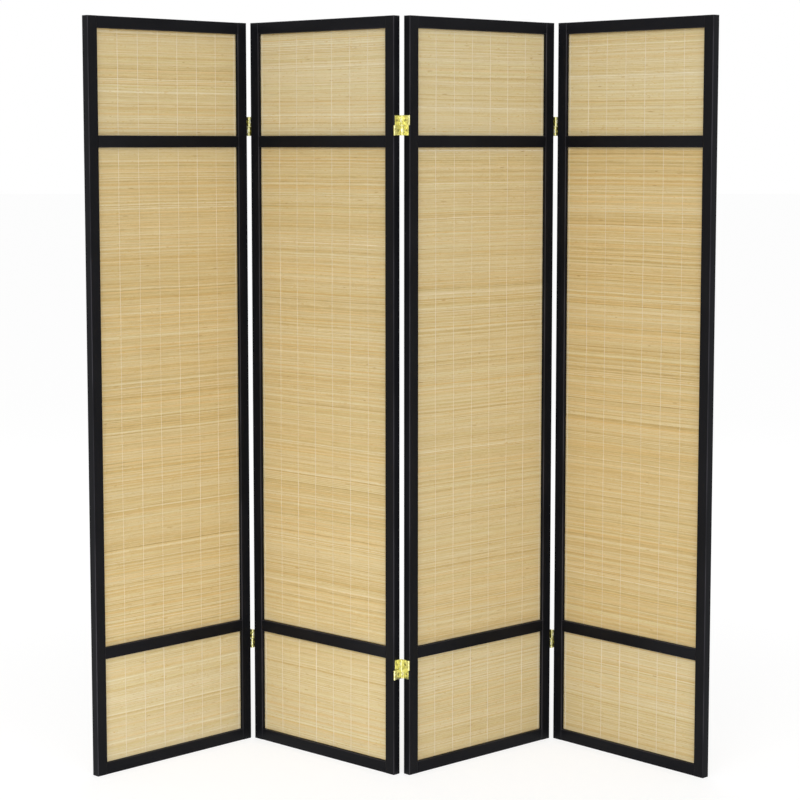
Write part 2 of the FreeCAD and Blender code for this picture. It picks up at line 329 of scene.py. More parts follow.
class Graph:
    """A material and its node tree, with short calls for the nodes that the finishes share."""

    def __init__(self, name: str) -> None:
        """Starts a material that holds one shader.

        Args:
            name: the material's name.
        """
        self.material = bpy.data.materials.new(name)
        self.material.use_nodes = True
        self.nodes = self.material.node_tree.nodes
        self.links = self.material.node_tree.links
        self.nodes.clear()
        self.shader = self.nodes.new("ShaderNodeBsdfPrincipled")
        self.output = self.nodes.new("ShaderNodeOutputMaterial")
        self.put(self.output.inputs["Surface"], self.shader.outputs["BSDF"])

    def put(self, socket: Socket, value: Socket | float | Colour) -> None:
        """Links a socket to a value that varies, or sets a plain one.

        Args:
            socket: the input that takes the value.
            value: another node's output, a number, or a colour, which is set as an opaque one.
        """
        if isinstance(value, Socket):
            self.links.new(value, socket)
        else:
            socket.default_value = (*value, 1.0) if isinstance(value, tuple) else value

    def shade(self, name: str, value: Socket | float | Colour) -> None:
        """Gives one of the shader's inputs its value."""
        self.put(self.shader.inputs[name], value)

    def attribute(self, name: str) -> Socket:
        """Reads what a mesh keeps under a name.

        Args:
            name: the attribute's name.

        Returns:
            Its vector.
        """
        node = self.nodes.new("ShaderNodeAttribute")
        node.attribute_name = name
        return node.outputs["Vector"]

    def split(self, vector: Socket) -> tuple[Socket, ...]:
        """Takes a vector apart.

        Args:
            vector: the vector.

        Returns:
            Its three parts.
        """
        node = self.nodes.new("ShaderNodeSeparateXYZ")
        self.links.new(vector, node.inputs[0])
        return tuple(node.outputs)

    def join(self, *parts: Socket | float) -> Socket:
        """Puts a vector together.

        Args:
            parts: its two or three parts. A third that isn't given is nought.

        Returns:
            The vector.
        """
        node = self.nodes.new("ShaderNodeCombineXYZ")
        for socket, part in zip(node.inputs, parts):
            self.put(socket, part)
        return node.outputs[0]

    def math(self, operation: str, *values: Socket | float) -> Socket:
        """Does one sum on numbers.

        Args:
            operation: the node's name for the sum.
            values: as many numbers as the sum takes.

        Returns:
            The result.
        """
        node = self.nodes.new("ShaderNodeMath")
        node.operation = operation
        for socket, value in zip(node.inputs, values):
            self.put(socket, value)
        return node.outputs[0]

    def stretched(self, vector: Socket, factors: Triple) -> Socket:
        """Multiplies each part of a vector by its own factor.

        Args:
            vector: the vector.
            factors: a factor for each part.

        Returns:
            The stretched vector.
        """
        node = self.nodes.new("ShaderNodeVectorMath")
        node.operation = "MULTIPLY"
        self.links.new(vector, node.inputs[0])
        node.inputs[1].default_value = factors
        return node.outputs[0]

    def noise(self, vector: Socket, detail: float, scale: float = 1.0) -> Socket:
        """Makes smooth noise between 0 and 1, about one half.

        Args:
            vector: where it is read.
            detail: how many finer layers it has.
            scale: how many times it changes per unit.

        Returns:
            The noise.
        """
        node = self.nodes.new("ShaderNodeTexNoise")
        self.links.new(vector, node.inputs["Vector"])
        node.inputs["Scale"].default_value = scale
        node.inputs["Detail"].default_value = detail
        return node.outputs["Fac"]

    def ranged(self, value: Socket, source: Span, target: Span, smooth: bool = False) -> Socket:
        """Carries a number from one range to another and holds it there.

        Args:
            value: the number.
            source: the range that it comes from.
            target: the range that it goes to.
            smooth: whether it eases in and out.

        Returns:
            The carried number.
        """
        node = self.nodes.new("ShaderNodeMapRange")
        node.interpolation_type = "SMOOTHSTEP" if smooth else "LINEAR"
        for socket, number in zip(node.inputs, (value, *source, *target)):
            self.put(socket, number)
        return node.outputs[0]

    def mixed(self, share: Socket, first: Socket | Colour, second: Socket | Colour) -> Socket:
        """Mixes two colours at a share that varies over the surface.

        Args:
            share: the share of the second colour, 0 to 1.
            first: the first colour.
            second: the second colour.

        Returns:
            The colour between them.
        """
        node = self.nodes.new("ShaderNodeMix")
        node.data_type = "RGBA"
        first_colour, second_colour = node.inputs[6], node.inputs[7]
        self.put(node.inputs["Factor"], share)
        self.put(first_colour, first)
        self.put(second_colour, second)
        return node.outputs[2]

    def tinted(self, base: Socket | Colour, value: Socket, tint: Tint) -> Socket:
        """A colour with a tint laid over it, as much as a value asks for."""
        return self.mixed(self.ranged(value, tint.span, (0.0, tint.most)), base, tint.colour)

    def ramp(self, value: Socket, stops: tuple[tuple[float, Colour], ...]) -> Socket:
        """Makes a colour that runs through stops as a number goes from 0 to 1.

        Args:
            value: the number.
            stops: the places from 0 to 1, with their colours.

        Returns:
            The colour.
        """
        node = self.nodes.new("ShaderNodeValToRGB")
        self.links.new(value, node.inputs[0])
        elements = node.color_ramp.elements
        for _ in range(len(stops) - len(elements)):
            elements.new(1.0)
        for element, (place, colour) in zip(elements, stops):
            element.position = place
            element.color = (*colour, 1.0)
        return node.outputs["Color"]

    def bump(self, height: Socket, distance: float, strength: float) -> None:
        """Gives the shader a relief.

        Args:
            height: the relief's height, 0 to 1.
            distance: the length that 1 stands for.
            strength: how much of it shows.
        """
        node = self.nodes.new("ShaderNodeBump")
        node.inputs["Distance"].default_value = distance
        node.inputs["Strength"].default_value = strength
        self.links.new(height, node.inputs["Height"])
        self.shade("Normal", node.outputs["Normal"])


def seen_rays(tree: bpy.types.NodeTree) -> Socket:
    """Tells seen rays from all other light: the largest of the light path's three answers.

    Args:
        tree: the node tree that asks.

    Returns:
        One where a ray comes from the camera, a reflection or a clear body, and nought elsewhere.
    """
    path = tree.nodes.new("ShaderNodeLightPath")
    seen = path.outputs["Is Camera Ray"]
    for kind in ("Is Glossy Ray", "Is Transmission Ray"):
        larger = tree.nodes.new("ShaderNodeMath")
        larger.operation = "MAXIMUM"
        tree.links.new(seen, larger.inputs[0])
        tree.links.new(path.outputs[kind], larger.inputs[1])
        seen = larger.outputs[0]
    return seen


@dataclass(frozen=True)
class Lacquer:
    """Satin black lacquer over wood: faint grain along each bar, and thinner on the arrises, where a paler
    colour stands for rubbed wear and a painted highlight.

    A stretch is how many times a pattern changes per metre along, across and back.
    """

    name: str = "satin_black_lacquer"
    deep: Colour = (0.0056, 0.0058, 0.0074)
    thin: Tint = Tint((0.0078, 0.0080, 0.0100), (0.35, 0.7))
    # Paler colour on the arrises: partly rubbed lacquer, partly a painted highlight.
    rubbed_and_highlight: Colour = (0.042, 0.040, 0.047)
    rub_and_highlight_clouds: Span = (0.38, 0.62)
    rub_and_highlight_share: Span = (0.35, 1.0)
    cloud_stretch: Triple = (6.0, 26.0, 26.0)
    grain_stretch: Triple = (18.0, 900.0, 900.0)
    pore_stretch: Triple = (160.0, 2600.0, 2600.0)
    gloss_weight: float = 0.5
    roughness: Span = (0.34, 0.50)
    specular: float = 0.07
    pore_weight: float = 0.4
    relief: float = 0.00012
    relief_strength: float = 0.35

    def material(self) -> bpy.types.Material:
        """Makes the material. It reads each bar's own place: along, across and back, and its arrises.

        Returns:
            The material.
        """
        graph = Graph(self.name)
        place = graph.attribute("bar_place")
        arris = graph.split(graph.attribute("arris"))[0]
        cloud = graph.noise(graph.stretched(place, self.cloud_stretch), detail=3.0)
        grain = graph.noise(graph.stretched(place, self.grain_stretch), detail=4.0)
        pores = graph.noise(graph.stretched(place, self.pore_stretch), detail=2.0)
        body = graph.tinted(self.deep, cloud, self.thin)
        # Painted highlight and rubbing on the arrises, broken up by clouds.
        rubbed_and_highlight = graph.ranged(cloud, self.rub_and_highlight_clouds, self.rub_and_highlight_share, smooth=True)
        graph.shade("Base Color", graph.mixed(graph.math("MULTIPLY", arris, rubbed_and_highlight), body, self.rubbed_and_highlight))
        gloss = graph.math("MULTIPLY", cloud, self.gloss_weight)
        gloss = graph.math("MULTIPLY_ADD", grain, self.gloss_weight, gloss)
        graph.shade("Roughness", graph.ranged(gloss, MOST_OF_NOISE, self.roughness))
        graph.shade("Specular IOR Level", self.specular)
        relief = graph.math("MULTIPLY_ADD", pores, self.pore_weight, grain)
        graph.bump(relief, self.relief, self.relief_strength)
        return graph.material


@dataclass(frozen=True)
class Bamboo:
    """Split bamboo matchsticks: each has its own tone, streaks along its length, and a knot at most.

    A rate is how many times a pattern changes per metre. A weight is how far it moves the colour
    along the stops.
    """

    name: str = "bamboo_matchsticks"
    stops: tuple[tuple[float, Colour], ...] = (
        (0.0, (0.398, 0.265, 0.092)),
        (0.3, (0.602, 0.450, 0.204)),
        (0.5, (0.680, 0.555, 0.306)),
        (0.72, (0.736, 0.640, 0.418)),
        (1.0, (0.824, 0.770, 0.630)),
    )
    middle: float = 0.5
    warm: Tint = Tint((0.730, 0.480, 0.170), (0.2, 2.6), 0.42)
    green: Tint = Tint((0.690, 0.620, 0.310), (-0.4, -2.6), 0.3)
    dash: Tint = Tint((0.600, 0.400, 0.110), (0.59, 0.73), 0.60)
    knot: Colour = (0.430, 0.260, 0.080)
    knot_edge: Span = (0.2, 1.0)
    lane_spread: float = 311.0
    streak_rate: float = 14.0
    fleck_rate: float = 62.0
    fleck_layer: float = 5.0
    fibre_rates: Span = (60.0, 5200.0)
    tone_weight: float = 0.09
    streak_weight: float = 0.42
    fleck_weight: float = 0.26
    fibre_weight: float = 0.18
    roughness: Span = (0.46, 0.66)
    specular: float = 0.3
    fleck_relief: float = 0.5
    relief: float = 0.0001
    relief_strength: float = 0.5

    def material(self) -> bpy.types.Material:
        """Makes the material. It reads the place along a stick and the tone and knot of that stick.

        Returns:
            The material.
        """
        graph = Graph(self.name)
        along, height, _ = graph.split(graph.attribute("stick_place"))
        tone, warmth, seed = graph.split(graph.attribute("stick_tone"))
        knot_place, knot_strength, knot_reach = graph.split(graph.attribute("stick_knot"))
        lane = graph.math("MULTIPLY", seed, self.lane_spread)
        streak_place = graph.join(graph.math("MULTIPLY", along, self.streak_rate), lane)
        streak = graph.noise(streak_place, detail=3.0)
        fleck_place = graph.join(graph.math("MULTIPLY", along, self.fleck_rate), lane, self.fleck_layer)
        fleck = graph.noise(fleck_place, detail=3.0)
        along_rate, height_rate = self.fibre_rates
        fibre_place = graph.join(graph.math("MULTIPLY", along, along_rate),
                                 graph.math("MULTIPLY", height, height_rate))
        fibre = graph.noise(fibre_place, detail=2.0)
        value = graph.math("MULTIPLY_ADD", tone, self.tone_weight, self.middle)
        weights = (self.streak_weight, self.fleck_weight, self.fibre_weight)
        for pattern, weight in zip((streak, fleck, fibre), weights):
            centred = graph.math("SUBTRACT", pattern, MIDDLE_OF_NOISE)
            value = graph.math("MULTIPLY_ADD", centred, weight, value)
        colour = graph.ramp(value, self.stops)
        for source, tint in ((warmth, self.warm), (warmth, self.green), (fleck, self.dash)):
            colour = graph.tinted(colour, source, tint)
        away = graph.math("ABSOLUTE", graph.math("SUBTRACT", along, knot_place))
        away = graph.math("DIVIDE", away, knot_reach)
        near = graph.ranged(away, self.knot_edge, (1.0, 0.0), smooth=True)
        knotted = graph.mixed(graph.math("MULTIPLY", near, knot_strength), colour, self.knot)
        graph.shade("Base Color", knotted)
        graph.shade("Roughness", graph.ranged(fibre, MOST_OF_NOISE, self.roughness))
        graph.shade("Specular IOR Level", self.specular)
        relief = graph.math("MULTIPLY_ADD", fleck, self.fleck_relief, fibre)
        graph.bump(relief, self.relief, self.relief_strength)
        return graph.material


@dataclass(frozen=True)
class Thread:
    """Off-white twisted warp thread, with slanting plies whose grooves are painted darker as shade, and a
    little soiling.
    """

    name: str = "off_white_warp_thread"
    # The darker colour is painted shade between the plies, and soiling.
    shade: Colour = (0.560, 0.470, 0.320)
    clean: Colour = (0.810, 0.735, 0.585)
    plies_per_metre: float = 560.0
    ply_slant: float = 900.0
    ply_shade_weight: float = 0.45
    soil_spread: float = 40.0
    soil_scale: float = 55.0
    soil_noise: Span = (0.3, 0.65)
    soil_share: Span = (0.15, 0.6)
    roughness: float = 0.8
    specular: float = 0.2
    relief: float = 0.0001
    relief_strength: float = 0.6

    def material(self) -> bpy.types.Material:
        """Makes the material. It reads the place across, back from and along the thread.

        Returns:
            The material.
        """
        graph = Graph(self.name)
        across, back, height = graph.split(graph.attribute("thread_place"))
        turn = graph.math("MULTIPLY", height, self.plies_per_metre)
        turn = graph.math("MULTIPLY_ADD", across, self.ply_slant, turn)
        ply = graph.math("ABSOLUTE", graph.math("SINE", graph.math("MULTIPLY", turn, math.pi)))
        spread = graph.join(graph.math("MULTIPLY", across, self.soil_spread), back, height)
        soil = graph.noise(spread, detail=3.0, scale=self.soil_scale)
        soil = graph.ranged(soil, self.soil_noise, self.soil_share)
        # Painted shade between the plies plus soiling: a low share gives the darker colour.
        share = graph.math("MULTIPLY_ADD", ply, self.ply_shade_weight, soil)
        graph.shade("Base Color", graph.mixed(share, self.shade, self.clean))
        graph.shade("Roughness", self.roughness)
        graph.shade("Specular IOR Level", self.specular)
        graph.bump(ply, self.relief, self.relief_strength)
        return graph.material


@dataclass(frozen=True)
class Brass:
    """Bright rolled brass with drawn lines, faint blotches of tarnish, and fine pits in its relief."""

    name: str
    bright: Colour
    dull: Colour
    roughness: Span
    blotch_scale: float = 260.0
    drawn_stretch: Triple = (5200.0, 5200.0, 260.0)
    pit_scale: float = 2400.0
    drawn_weight: float = 0.25
    blotch_weight: float = 0.75
    dulled: Span = (0.36, 0.62)
    pit_weight: float = 0.6
    relief: float = 0.00003
    relief_strength: float = 0.5

    def material(self) -> bpy.types.Material:
        """Makes the material. It reads Object coordinates.

        Returns:
            The material.
        """
        graph = Graph(self.name)
        place = graph.nodes.new("ShaderNodeTexCoord").outputs["Object"]
        blotch = graph.noise(place, detail=3.0, scale=self.blotch_scale)
        drawn = graph.noise(graph.stretched(place, self.drawn_stretch), detail=2.0)
        pit = graph.noise(place, detail=2.0, scale=self.pit_scale)
        share = graph.math("MULTIPLY", blotch, self.blotch_weight)
        share = graph.math("MULTIPLY_ADD", drawn, self.drawn_weight, share)
        share = graph.ranged(share, self.dulled, (0.0, 1.0), smooth=True)
        graph.shade("Base Color", graph.mixed(share, self.bright, self.dull))
        graph.shade("Roughness", graph.ranged(blotch, MOST_OF_NOISE, self.roughness))
        graph.shade("Metallic", 1.0)
        relief = graph.math("MULTIPLY_ADD", pit, self.pit_weight, drawn)
        graph.bump(relief, self.relief, self.relief_strength)
        return graph.material


@dataclass(frozen=True)
class Finishes:
    """All the materials of the divider."""

    lacquer: bpy.types.Material
    bamboo: bpy.types.Material
    thread: bpy.types.Material
    brass: bpy.types.Material
    screw: bpy.types.Material

    @classmethod
    def make(cls) -> "Finishes":
        """Makes each material once.

        Returns:
            The materials.
        """
        hinge = Brass("bright_hinge_brass", bright=(0.79, 0.76, 0.37), dull=(0.50, 0.47, 0.18),
                      roughness=(0.22, 0.42))
        # The screws' brass is darker than the hinges' as painted shade on the sunk screw heads.
        screw = Brass("screw_brass", bright=(0.48, 0.42, 0.22), dull=(0.24, 0.20, 0.09),
                      roughness=(0.24, 0.45))
        return cls(*(finish.material() for finish in (Lacquer(), Bamboo(), Thread(), hinge, screw)))


# Panels

def node_points(node: str) -> np.ndarray:
    """Every point of a node's mesh, in the object's frame.

    Args:
        node: the node's name.

    Returns:
        One row of three coordinates per point.
    """
    mesh = frame["nodes"][node].data
    points = np.empty(len(mesh.vertices) * 3)
    mesh.vertices.foreach_get("co", points)
    return points.reshape(-1, 3)


@dataclass(frozen=True)
class PanelPlace:
    """Where one panel stands, and the sizes that its nodes have."""

    number: int
    corner: np.ndarray
    along: np.ndarray
    back: np.ndarray
    width: float
    thickness: float
    height: float
    stile_width: float
    rails: dict[str, tuple[float, float]]

    @classmethod
    def read(cls, number: int) -> "PanelPlace":
        """Works a panel's place out from its stiles and rails.

        The stiles are alike, so the line between the middles of their boxes runs along the panel. Their
        points measured along it and across it give the width, the thickness and the stile's own width.

        Args:
            number: the panel, counted from the left.

        Returns:
            The panel's place.
        """
        left, right = (node_points(f"panel_{number}_{side}_stile") for side in ("left", "right"))
        middles = [(points.min(axis=0) + points.max(axis=0)) / 2 for points in (left, right)]
        along = middles[1] - middles[0]
        along = along / np.linalg.norm(along)
        back = np.array([-along[1], along[0], 0.0])
        start, inner = (left @ along).min(), (left @ along).max()
        front = (left @ back).min()
        rails = {}
        for name in ("bottom_rail", "lower_rail", "upper_rail", "top_rail"):
            heights = node_points(f"panel_{number}_{name}")[:, 2]
            rails[name] = (float(heights.min()), float(heights.max()))
        return cls(number=number, corner=along * start + back * front, along=along, back=back,
                   width=float((right @ along).max() - start),
                   thickness=float((left @ back).max() - front),
                   height=float(left[:, 2].max()), stile_width=float(inner - start), rails=rails)

    def carried(self, points: np.ndarray) -> np.ndarray:
        """Points of the panel's own frame, carried to the object's frame."""
        upward = np.array([0.0, 0.0, 1.0])
        return self.corner + points[:, :1] * self.along + points[:, 1:2] * self.back + points[:, 2:] * upward

    @property
    def body(self) -> str:
        """The body that the panel is."""
        return f"panel_{self.number}"


@dataclass(frozen=True)
class BarShape:
    """The section of a stile or rail: a rectangle with rounded arrises and a groove for the mat."""

    groove_width: float = 0.0033
    groove_depth: float = 0.006
    stile_radius: float = 0.002
    rail_radius: float = 0.0016
    arc_points: int = 7
    support: float = 0.0005
    stile_ease: float = 0.0007
    rail_ease: float = 0.0007 / 3
    ease_rings: int = 4
    sharp_degrees: float = 40.0

    def section(self, size: Span, radius: float, grooves: tuple[bool, bool], inset: float,
                groove_share: float) -> tuple[np.ndarray, np.ndarray]:
        """The section's outline about its middle.

        Corners are quarter circles, with a point a little further along each flat so that flats shade
        flat. A groove is four points in the middle of a flat.

        Args:
            size: the section's size across and back.
            radius: the radius of its arrises.
            grooves: whether there is a groove on the flat at the low side across, and at the high side.
            inset: how far the outline is drawn in, at an eased end.
            groove_share: the share of the groove's depth that is cut here.

        Returns:
            The outline's points, and 1 for those on an arris and 0 for the others.
        """
        half = np.array(size) / 2 - inset
        radius = max(radius - inset, radius / 4)
        turn = np.linspace(0, QUARTER_TURN, self.arc_points)
        arc = np.stack([np.cos(turn), np.sin(turn)], axis=1) * radius
        # The corner between the high flat across and the high flat back, its supports first and last
        corner = np.concatenate([[[radius, -self.support]], arc, [[-self.support, radius]]])
        on_arris = np.concatenate([[0.0], np.sin(2 * turn), [0.0]])
        floor = half[0] - self.groove_depth * groove_share
        lip = self.groove_width / 2
        notch = np.array([[half[0], -lip], [floor, -lip], [floor, lip], [half[0], lip]])
        grooved = {0: grooves[1], 2: grooves[0]}
        outline, weights = [], []
        for quarter in range(4):
            spin = quarter * QUARTER_TURN
            matrix = np.array([[math.cos(spin), -math.sin(spin)], [math.sin(spin), math.cos(spin)]])
            centre = (half - radius) * np.sign(matrix @ np.ones(2))
            if grooved.get(quarter):
                outline.append(notch @ matrix.T)
                weights.append(np.zeros(len(notch)))
            outline.append(corner @ matrix.T + centre)
            weights.append(on_arris)
        return np.concatenate(outline), np.concatenate(weights)

    def bar(self, size: Span, radius: float, grooves: tuple[bool, bool], length: float, ease: float,
            groove_stop: float) -> Surface:
        """A bar of this section with eased ends, along its third axis.

        At an eased end the section is drawn in along a quarter circle.

        Args:
            size: the section's size across and back.
            radius: the radius of its arrises.
            grooves: which flats have a groove.
            length: the bar's length.
            ease: the radius of its eased ends.
            groove_stop: how far the groove stops from each end, or 0 where it runs through.

        Returns:
            The closed surface about the section's middle, from 0 to its length.
        """
        turn = np.linspace(0, QUARTER_TURN, self.ease_rings)
        ends = [(ease * (1 - math.cos(angle)), ease * (1 - math.sin(angle))) for angle in turn]
        through = 0.0 if groove_stop else 1.0
        rows = [(place, inset, through) for place, inset in ends]
        if groove_stop:
            rows += [(groove_stop, 0.0, 0.0), (groove_stop, 0.0, 1.0)]
            rows += [(length - groove_stop, 0.0, 1.0), (length - groove_stop, 0.0, 0.0)]
        rows += [(length - place, inset, through) for place, inset in ends[::-1]]
        rings, arris = [], []
        for place, inset, share in rows:
            outline, weights = self.section(size, radius, grooves, inset, share)
            rings.append(np.column_stack([outline, np.full(len(outline), place)]))
            arris.append(weights)
        surface = ringed(np.stack(rings))
        weights = np.concatenate(arris)
        surface.point_values["arris"] = np.column_stack([weights, 0 * weights, 0 * weights])
        return surface


@dataclass(frozen=True)
class Wave:
    """A wave across a mat, whose start leans to and fro with height."""

    rate: float
    lean: float
    lean_rate: float
    lean_start: float = 0.0
    start: float = 0.0

    def at(self, across: np.ndarray, height: np.ndarray) -> np.ndarray:
        """The sine of the place across times the rate, plus the lean times the sine of the height."""
        lean = self.lean * np.sin(height * self.lean_rate + self.lean_start)
        return np.sin(across * self.rate + lean + self.start)


@dataclass(frozen=True)
class Mat:
    """A mat of matchsticks with a row of warp threads.

    The sticks sway and bow in waves across the mat. Tone and warmth drift over a bundle of sticks, and
    their two shares are the drift's and the stick's own.
    """

    tuck: float = 0.005
    stick_pitch: float = 0.0018
    pitch_spread: Span = (0.72, 1.28)
    stick_half: float = 0.001
    stick_spread: Span = (0.84, 1.0)
    stick_rows: tuple[float, ...] = (0.0, 0.16, 0.5, 0.84)
    gap_half: float = 0.00028
    columns: int = 11
    sway: float = 0.0009
    slow: Wave = Wave(9.5, 2.6, 8.1, start=1.3)
    slow_share: float = 0.65
    quick: Wave = Wave(24.0, 3.4, 17.0, lean_start=0.8)
    quick_share: float = 0.35
    bow: float = 0.00022
    bow_wave: Wave = Wave(31.0, 2.0, 5.0)
    bow_rate: float = 7.3
    bundle: int = 25
    bundle_scale: float = 3.0
    bundle_lag: int = 7
    tone_shares: Span = (0.24, 1.05)
    warmth_shares: Span = (0.22, 1.1)
    dark_drop: float = 1.6
    dark_chance: float = 0.03
    knot_chance: float = 0.16
    knot_strength: Span = (0.2, 0.7)
    knot_reach: Span = (0.004, 0.014)
    thread_count: int = 8
    thread_sides: int = 8
    thread_inset: float = 0.0045
    thread_half_width: float = 0.0006
    thread_crown: float = 0.0013
    thread_pinch: float = 0.16
    wander: float = 0.0007
    wander_rates: Span = (11.0, 37.0)
    wander_shares: Span = (0.6, 0.4)
    stick_sharp_degrees: float = 70.0
    thread_sharp_degrees: float = 80.0

    def stick_levels(self, foot: float, head: float, random: np.random.Generator) -> np.ndarray:
        """The heights between sticks: uneven pitches that add up to the mat's height.

        Args:
            foot: the mat's lower edge.
            head: the mat's upper edge.
            random: the source of chance.

        Returns:
            The heights, from the lower edge to the upper one.
        """
        count = round((head - foot) / self.stick_pitch)
        pitches = random.uniform(*self.pitch_spread, count)
        return foot + np.concatenate([[0.0], np.cumsum(pitches)]) * (head - foot) / pitches.sum()

    def bend(self, across: np.ndarray, height: np.ndarray, foot: float, head: float) -> np.ndarray:
        """How far the sticks sway up or down: a slow and a quick wave, held at both ends.

        Args:
            across: places across the panel.
            height: the heights of the same points.
            foot: the mat's lower edge.
            head: the mat's upper edge.

        Returns:
            The lift of each point.
        """
        hold = np.clip(np.minimum(height - foot, head - height) / (4 * self.tuck), 0, 1)
        slow, quick = self.slow.at(across, height), self.quick.at(across, height)
        return self.sway * hold * (self.slow_share * slow + self.quick_share * quick)

    def sticks(self, left: float, right: float, levels: np.ndarray, depth: float,
               random: np.random.Generator) -> Surface:
        """The sticks of a mat as one closed surface.

        Front and back are grids: across by columns, up by four rows a stick. At a share s of a stick's
        pitch the surface stands off the mat's middle by the gap's half thickness plus the rest of the
        stick's half thickness times the root of 1 - (2s - 1) squared.

        Args:
            left: where the sticks start across the panel.
            right: where they end.
            levels: the heights between the sticks.
            depth: the mat's middle, back from the panel's front face.
            random: the source of chance.

        Returns:
            The closed surface with each point's place, and each face's tone and knot.
        """
        count = len(levels) - 1
        share = np.array(self.stick_rows)
        rows = (levels[:-1, None] + np.diff(levels)[:, None] * share).ravel()
        crown = self.stick_half * random.uniform(*self.stick_spread, count)
        rise = np.sqrt(1 - (2 * share - 1) ** 2)
        stand = (self.gap_half + (crown[:, None] - self.gap_half) * rise).ravel()
        stand = np.append(stand, self.gap_half)[:, None]
        across = np.linspace(left, right, self.columns)
        grid_x, grid_z = np.meshgrid(across, np.append(rows, levels[-1]))
        bow = self.bow * self.bow_wave.at(grid_x, grid_z) * np.sin(grid_z * self.bow_rate)
        lift = self.bend(grid_x, grid_z, levels[0], levels[-1])
        sheets = [np.stack([grid_x, depth + bow + sign * stand, grid_z + lift], axis=-1) for sign in (-1, 1)]
        points = np.concatenate([sheet.reshape(-1, 3) for sheet in sheets])
        front = np.arange(grid_x.size).reshape(grid_x.shape)
        rear = front + grid_x.size
        # Front and back, then the sticks' left and right ends, then the mat's lower and upper edges
        faces = [grid_quads(front), grid_quads(rear)[:, ::-1],
                 grid_quads(np.stack([rear[:, 0], front[:, 0]], axis=1)),
                 grid_quads(np.stack([front[:, -1], rear[:, -1]], axis=1)),
                 grid_quads(np.stack([rear[0], front[0]])), grid_quads(np.stack([front[-1], rear[-1]]))]
        by_row = np.repeat(np.arange(count), len(share))
        by_face = np.repeat(by_row, self.columns - 1)
        edge = np.zeros(self.columns - 1, dtype=int)
        owner = np.concatenate([by_face, by_face, by_row, by_row, edge, edge + count - 1])
        surface = Surface(points, faces)
        surface.point_values["stick_place"] = np.column_stack([points[:, 0], points[:, 2], points[:, 1]])
        surface.face_values["stick_tone"] = self.tones(count, random)[owner]
        surface.face_values["stick_knot"] = self.knots(count, left, right, random)[owner]
        return surface

    def tones(self, count: int, random: np.random.Generator) -> np.ndarray:
        """Each stick's look: a slow drift over bundles plus its own chance, and now and then a dark one.

        Args:
            count: the number of sticks.
            random: the source of chance.

        Returns:
            One row per stick of its tone, its warmth and its lane of streaks.
        """
        drift = random.normal(0, 1, count + self.bundle - 1)
        drift = np.convolve(drift, np.hanning(self.bundle), "valid") / self.bundle_scale
        tone = self.tone_shares[0] * drift + self.tone_shares[1] * random.normal(0, 1, count)
        tone = tone - self.dark_drop * (random.random(count) < self.dark_chance)
        warmth = self.warmth_shares[0] * np.roll(drift, self.bundle_lag)
        warmth = warmth + self.warmth_shares[1] * random.normal(0, 1, count)
        return np.column_stack([tone, warmth, random.random(count)])

    def knots(self, count: int, left: float, right: float, random: np.random.Generator) -> np.ndarray:
        """Each stick's knot, which may lie past its ends or have no strength.

        Args:
            count: the number of sticks.
            left: where the sticks start across the panel.
            right: where they end.
            random: the source of chance.

        Returns:
            One row per stick of its knot's place across, its strength, and half its length.
        """
        spare = (right - left) / 2
        place = random.uniform(left - spare, right + spare, count)
        knotted = random.random(count) < self.knot_chance
        strength = np.where(knotted, random.uniform(*self.knot_strength, count), 0.0)
        return np.column_stack([place, strength, random.uniform(*self.knot_reach, count)])

    def threads(self, left: float, right: float, levels: np.ndarray, depth: float,
                random: np.random.Generator) -> Surface:
        """The warp threads of a mat: flattened tubes round the sticks, fuller on every second stick.

        A ring is an ellipse with its long axis through the mat; its middle wanders slowly across.

        Args:
            left: the window's left edge.
            right: the window's right edge.
            levels: the heights between the sticks.
            depth: the mat's middle, back from the panel's front face.
            random: the source of chance.

        Returns:
            The closed surfaces as one, with each point's place.
        """
        heights = np.concatenate([levels[:1], (levels[:-1] + levels[1:]) / 2, levels[-1:]])
        fuller = (1 - self.thread_pinch * (np.arange(len(heights)) % 2))[:, None]
        half_side = math.pi / self.thread_sides
        angles = (np.arange(self.thread_sides) * 2 + 1) * half_side
        across = self.thread_half_width * fuller * np.cos(angles) / math.cos(half_side)
        deep = self.thread_crown * fuller * np.sin(angles)
        parts = []
        for place in np.linspace(left + self.thread_inset, right - self.thread_inset, self.thread_count):
            phases = random.uniform(0, FULL_TURN, 2)
            slow, quick = (np.sin(heights * rate + phase) for rate, phase in zip(self.wander_rates, phases))
            middle = place + self.wander * (self.wander_shares[0] * slow + self.wander_shares[1] * quick)
            lift = self.bend(middle, heights, levels[0], levels[-1])
            up = np.broadcast_to((heights + lift)[:, None], across.shape)
            tube = ringed(np.stack([middle[:, None] + across, depth + deep, up], axis=-1))
            tube.point_values["thread_place"] = np.stack([across, deep, up], axis=-1).reshape(-1, 3)
            parts.append(tube)
        return Surface.joined(parts)


